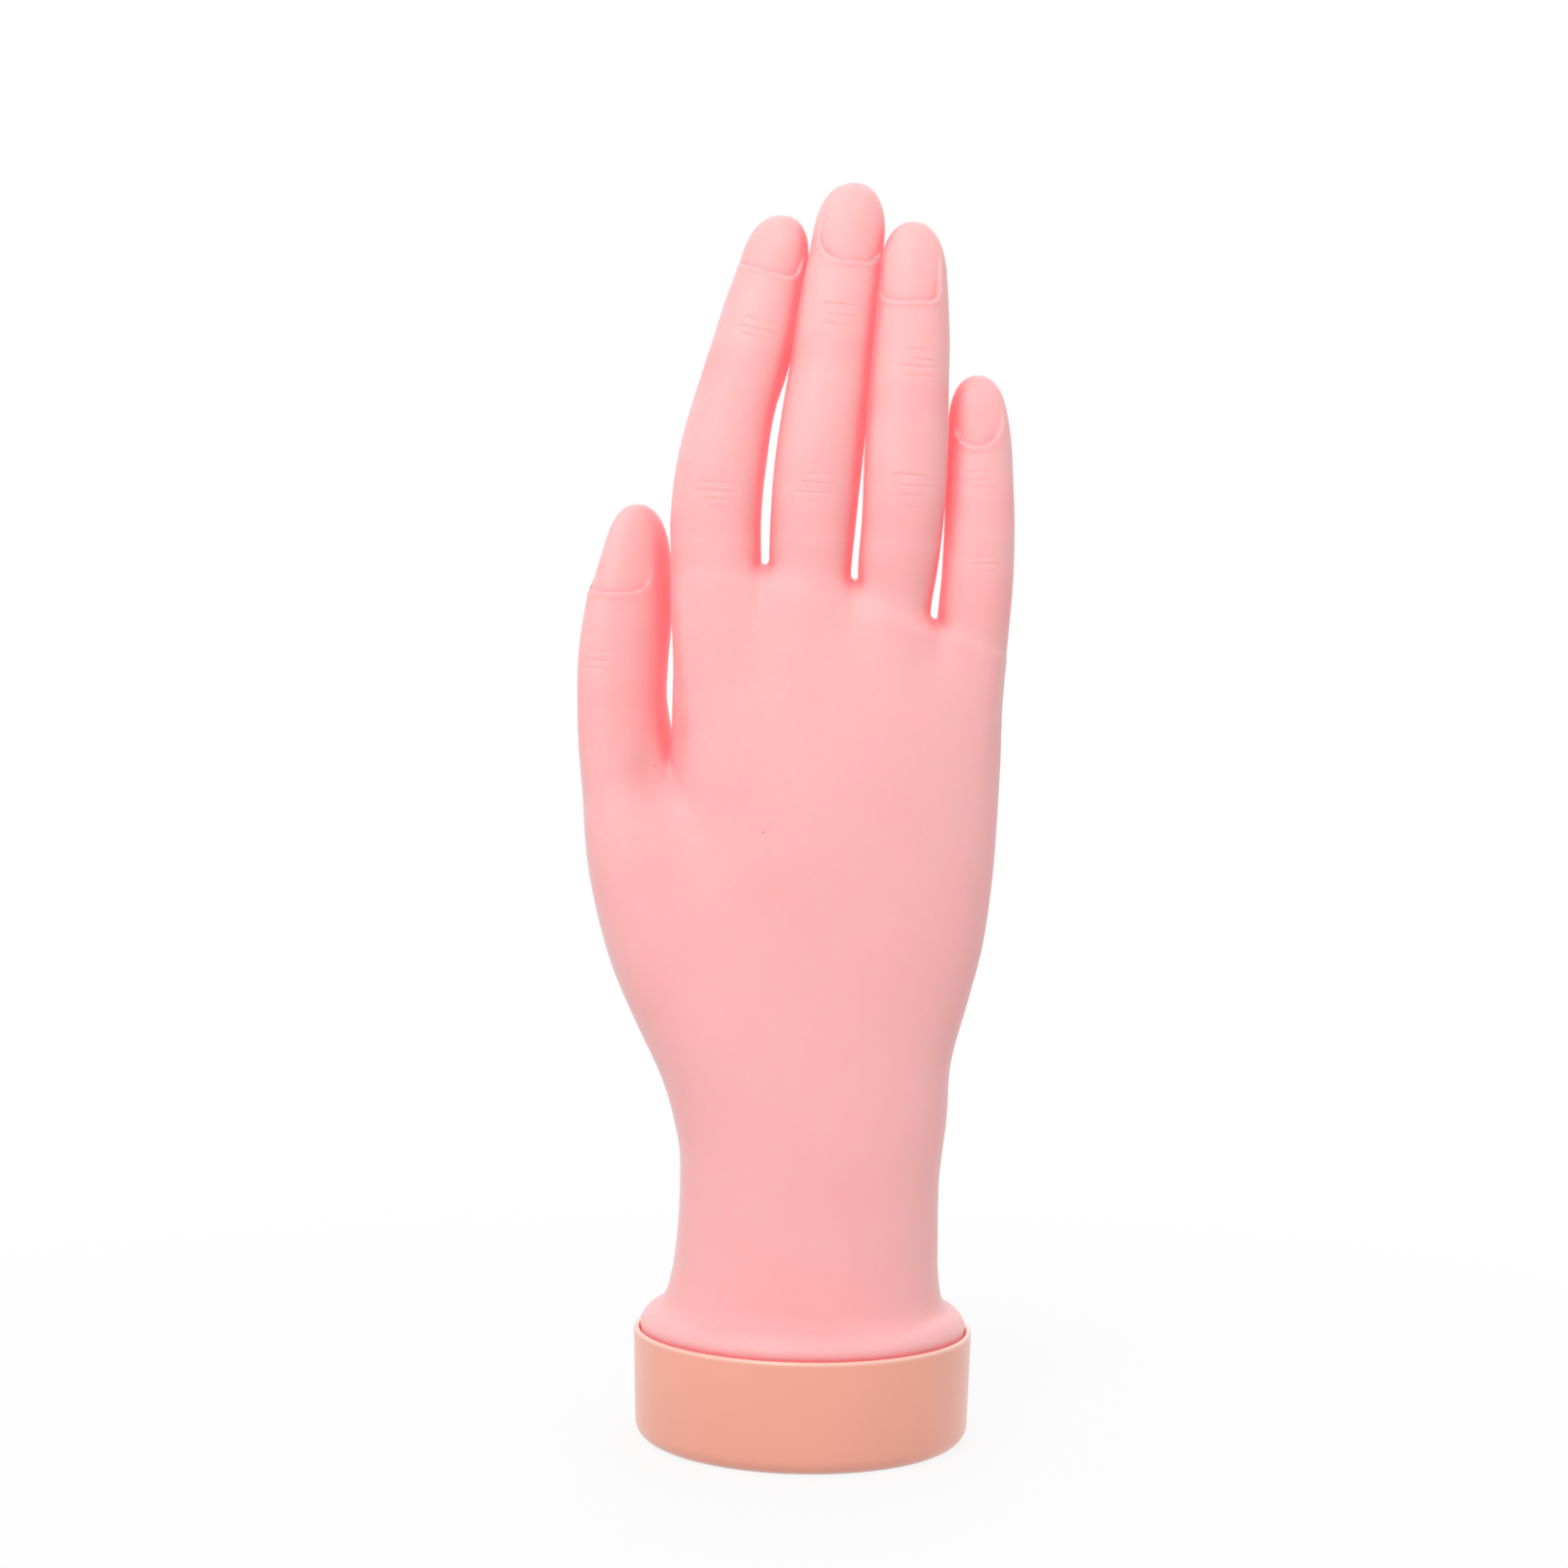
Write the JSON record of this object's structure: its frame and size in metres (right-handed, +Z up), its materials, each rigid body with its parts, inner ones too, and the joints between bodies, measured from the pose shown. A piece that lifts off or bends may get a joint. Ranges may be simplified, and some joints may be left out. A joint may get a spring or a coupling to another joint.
{
  "type": "nail practice hand",
  "caption": "Soft right hand with bending fingers and sunk nail beds, standing upright in a round cup base, for practising manicures.",
  "frame": {"origin": "middle of the cup's flat underside", "axes": "+Z up the forearm to the fingertips, +X towards the little finger, +Y out of the palm; the nails face -Y"},
  "size_m": [0.0767, 0.0592, 0.2207],
  "materials": {
    "skin": "matte soft PVC",
    "cup": "glossy moulded",
    "bone": "moulded",
    "steel": "bright"
  },
  "bodies": {
    "hand": {"base_cup": "cup", "base_screw_1": "steel", "base_screw_2": "steel", "base_screw_3": "steel", "palm_frame": "bone", "palm_skin": "skin", "thumb_root_skin": "skin", "index_knuckle_pin": "steel", "middle_knuckle_pin": "steel", "ring_knuckle_pin": "steel", "little_knuckle_pin": "steel", "thumb_knuckle_pin": "steel"},
    "index_proximal": {"index_proximal_bone": "bone", "index_proximal_skin": "skin", "index_middle_joint_pin": "steel", "index_middle_joint_skin": "skin"},
    "index_middle": {"index_middle_bone": "bone", "index_middle_skin": "skin", "index_end_joint_pin": "steel", "index_end_joint_skin": "skin"},
    "index_tip": {"index_tip_bone": "bone", "index_tip_skin": "skin"},
    "middle_proximal": {"middle_proximal_bone": "bone", "middle_proximal_skin": "skin", "middle_middle_joint_pin": "steel", "middle_middle_joint_skin": "skin"},
    "middle_middle": {"middle_middle_bone": "bone", "middle_middle_skin": "skin", "middle_end_joint_pin": "steel", "middle_end_joint_skin": "skin"},
    "middle_tip": {"middle_tip_bone": "bone", "middle_tip_skin": "skin"},
    "ring_proximal": {"ring_proximal_bone": "bone", "ring_proximal_skin": "skin", "ring_middle_joint_pin": "steel", "ring_middle_joint_skin": "skin"},
    "ring_middle": {"ring_middle_bone": "bone", "ring_middle_skin": "skin", "ring_end_joint_pin": "steel", "ring_end_joint_skin": "skin"},
    "ring_tip": {"ring_tip_bone": "bone", "ring_tip_skin": "skin"},
    "little_proximal": {"little_proximal_bone": "bone", "little_proximal_skin": "skin", "little_middle_joint_pin": "steel", "little_middle_joint_skin": "skin"},
    "little_middle": {"little_middle_bone": "bone", "little_middle_skin": "skin", "little_end_joint_pin": "steel", "little_end_joint_skin": "skin"},
    "little_tip": {"little_tip_bone": "bone", "little_tip_skin": "skin"},
    "thumb_proximal": {"thumb_proximal_bone": "bone", "thumb_proximal_skin": "skin", "thumb_end_joint_pin": "steel", "thumb_end_joint_skin": "skin"},
    "thumb_tip": {"thumb_tip_bone": "bone", "thumb_tip_skin": "skin"}
  },
  "joints": [
    {"name": "index_knuckle", "type": "hinge", "parent": "hand", "child": "index_proximal", "pos_m": [-0.01755, 0, 0.155], "axis": [-1, 0, 0.0082], "range_deg": [0, 25], "deforming": ["index_proximal_skin"]},
    {"name": "index_middle_joint", "type": "hinge", "parent": "index_proximal", "child": "index_middle", "pos_m": [-0.01747, -0.0005, 0.1653], "axis": [-0.9794, 0, 0.2019], "range_deg": [0, 60], "deforming": ["index_middle_joint_skin"]},
    {"name": "index_end_joint", "type": "hinge", "parent": "index_middle", "child": "index_tip", "pos_m": [-0.01155, 0.0005, 0.194], "axis": [-0.9746, 0, 0.2239], "range_deg": [0, 40], "deforming": ["index_end_joint_skin"]},
    {"name": "middle_knuckle", "type": "hinge", "parent": "hand", "child": "middle_proximal", "pos_m": [-0.0008, 0, 0.155], "axis": [-0.9989, 0, 0.0471], "range_deg": [0, 25], "deforming": ["middle_proximal_skin"]},
    {"name": "middle_middle_joint", "type": "hinge", "parent": "middle_proximal", "child": "middle_middle", "pos_m": [-0.00026, -0.0005, 0.1665], "axis": [-0.9932, 0, 0.1167], "range_deg": [0, 60], "deforming": ["middle_middle_joint_skin"]},
    {"name": "middle_end_joint", "type": "hinge", "parent": "middle_middle", "child": "middle_tip", "pos_m": [0.00323, 0.0005, 0.1962], "axis": [-0.9934, 0, 0.1149], "range_deg": [0, 40], "deforming": ["middle_end_joint_skin"]},
    {"name": "ring_knuckle", "type": "hinge", "parent": "hand", "child": "ring_proximal", "pos_m": [0.01455, 0, 0.1525], "axis": [-0.9988, 0, 0.0491], "range_deg": [0, 25], "deforming": ["ring_proximal_skin"]},
    {"name": "ring_middle_joint", "type": "hinge", "parent": "ring_proximal", "child": "ring_middle", "pos_m": [0.01523, -0.0005, 0.1664], "axis": [-0.9987, 0, 0.051], "range_deg": [0, 60], "deforming": ["ring_middle_joint_skin"]},
    {"name": "ring_end_joint", "type": "hinge", "parent": "ring_middle", "child": "ring_tip", "pos_m": [0.01633, 0.0005, 0.188], "axis": [-0.9998, 0, 0.0194], "range_deg": [0, 40], "deforming": ["ring_end_joint_skin"]},
    {"name": "little_knuckle", "type": "hinge", "parent": "hand", "child": "little_proximal", "pos_m": [0.02845, 0, 0.145], "axis": [-0.9999, 0, 0.0107], "range_deg": [0, 25], "deforming": ["little_proximal_skin"]},
    {"name": "little_middle_joint", "type": "hinge", "parent": "little_proximal", "child": "little_middle", "pos_m": [0.02854, -0.0005, 0.1531], "axis": [-0.9998, 0, 0.0201], "range_deg": [0, 60], "deforming": ["little_middle_joint_skin"]},
    {"name": "little_end_joint", "type": "hinge", "parent": "little_middle", "child": "little_tip", "pos_m": [0.02884, 0.0005, 0.1683], "axis": [-0.9999, 0, -0.0159], "range_deg": [0, 40], "deforming": ["little_end_joint_skin"]},
    {"name": "thumb_knuckle", "type": "hinge", "parent": "hand", "child": "thumb_proximal", "pos_m": [-0.0335, 0.0023, 0.125], "axis": [-0.9994, 0, -0.034], "range_deg": [0, 25], "deforming": ["thumb_proximal_skin"]},
    {"name": "thumb_end_joint", "type": "hinge", "parent": "thumb_proximal", "child": "thumb_tip", "pos_m": [-0.03385, 0.002, 0.1353], "axis": [-0.9968, 0, 0.08], "range_deg": [0, 50], "deforming": ["thumb_end_joint_skin"]}
  ]
}
